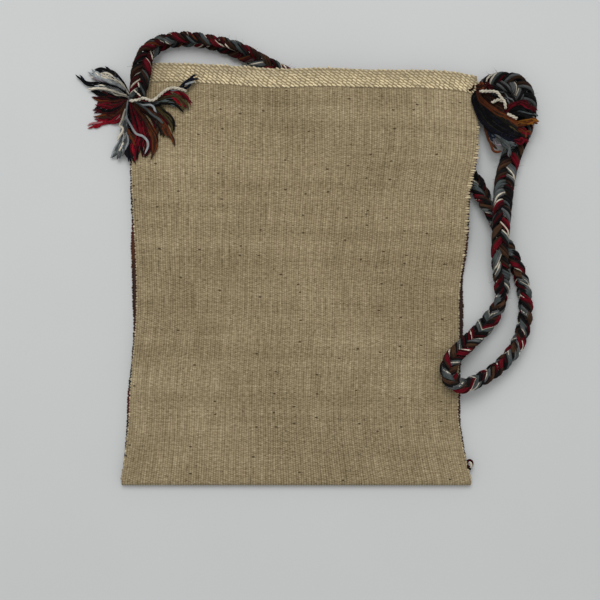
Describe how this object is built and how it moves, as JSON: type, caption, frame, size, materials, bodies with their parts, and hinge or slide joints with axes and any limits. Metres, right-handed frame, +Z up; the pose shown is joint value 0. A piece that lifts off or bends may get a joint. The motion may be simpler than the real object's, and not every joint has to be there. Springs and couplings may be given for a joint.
{
  "type": "crossbody bag",
  "caption": "Flat handwoven wool crossbody bag with a twined cream hem, a braided yarn strap and loose yarn tassels, lying empty with its plain face up.",
  "frame": {"origin": "middle of the bag's own outline on the floor, strap and tassels apart", "axes": "+X across the bag to the right, +Y from the fold to the mouth, +Z up from the floor through the plain face"},
  "size_m": [0.4075, 0.4007, 0.0299],
  "materials": {
    "plain_wool": "matte handwoven wool in natural beige, ribbed along the bag",
    "cream_wool": "matte cream wool yarn",
    "mixed_wool": "matte wool yarns in mixed dark reds, rusts, greys, navy and cream",
    "rust_wool": "matte rust wool yarn"
  },
  "bodies": {
    "root": {"woven_body": "plain_wool", "front_hem": "cream_wool", "back_hem": "cream_wool", "left_seam": "plain_wool", "right_seam": "plain_wool", "seam_knot": "rust_wool", "strap": "mixed_wool", "left_tassel": "mixed_wool", "right_tassel": "mixed_wool", "left_tie": "cream_wool", "right_tie": "cream_wool", "left_stitch": "rust_wool", "right_stitch": "rust_wool"}
  },
  "joints": []
}
